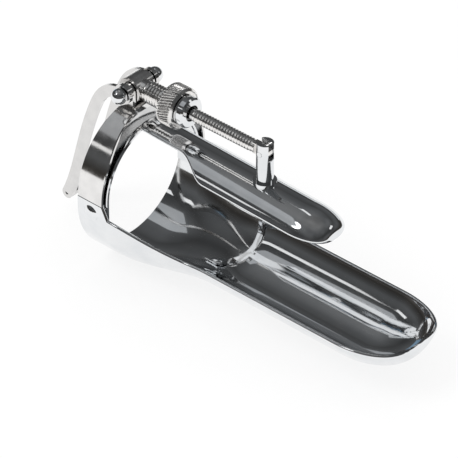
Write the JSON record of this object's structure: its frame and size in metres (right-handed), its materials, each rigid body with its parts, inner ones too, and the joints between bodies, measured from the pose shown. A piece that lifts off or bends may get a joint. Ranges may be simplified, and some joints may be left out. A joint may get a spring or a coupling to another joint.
{
  "type": "bivalve speculum",
  "caption": "Hinged two-blade speculum of polished steel with a long lower trough blade, a short upper blade, a threaded spreading screw with a knurled nut, and a strap grip.",
  "frame": {"origin": "centre of the mouth, on the hinge axis of the two blades", "axes": "+X along the blades to their tips, +Y to the left side, +Z from the lower blade to the upper one"},
  "size_m": [0.1298, 0.046, 0.0597],
  "materials": {
    "polished_steel": "mirror polished",
    "threaded_steel": "satin, threaded",
    "knurled_steel": "satin, knurled"
  },
  "bodies": {
    "base": {"lower_blade": "polished_steel", "left_arm": "polished_steel", "right_arm": "polished_steel", "hinge_rivet_left": "polished_steel", "hinge_rivet_right": "polished_steel", "hinge_washer_left": "polished_steel", "hinge_washer_right": "polished_steel", "top_bracket": "polished_steel", "cross_axle": "polished_steel", "axle_ball_left": "polished_steel", "axle_ball_right": "polished_steel"},
    "upper": {"upper_blade": "polished_steel", "fork_post": "polished_steel", "post_foot": "polished_steel", "post_rivet": "polished_steel", "post_pin": "polished_steel"},
    "tube": {"adjuster_tube": "threaded_steel"},
    "nut": {"knurled_nut": "knurled_steel", "nut_collar": "polished_steel"},
    "rod": {"adjuster_rod": "threaded_steel"},
    "bail": {"grip_bail": "polished_steel"}
  },
  "joints": [
    {"name": "blade_open", "type": "hinge", "parent": "base", "child": "upper", "pos_m": [0, 0, 0], "axis": [0, -1, 0], "range_deg": [-15, 8]},
    {"name": "tube_tilt", "type": "hinge", "parent": "base", "child": "tube", "pos_m": [-0.002, 0, 0.0315], "axis": [0, -1, 0], "range_deg": [-14.1, 7.6]},
    {"name": "rod_tilt", "type": "hinge", "parent": "upper", "child": "rod", "pos_m": [0.046, 0, 0.0315], "axis": [0, -1, 0], "range_deg": [-0.6, 1.1]},
    {"name": "nut_spin", "type": "hinge", "parent": "tube", "child": "nut", "pos_m": [0.0133, 0, 0.0315], "axis": [1, 0, 0], "continuous": true},
    {"name": "grip_swing", "type": "hinge", "parent": "base", "child": "bail", "pos_m": [-0.002, 0, 0.0315], "axis": [0, -1, 0], "range_deg": [-25, 10]}
  ],
  "couplings": [
    {"joint": "tube_tilt", "follows": "blade_open", "ratio": 0.932},
    {"joint": "rod_tilt", "follows": "blade_open", "ratio": -0.068}
  ]
}
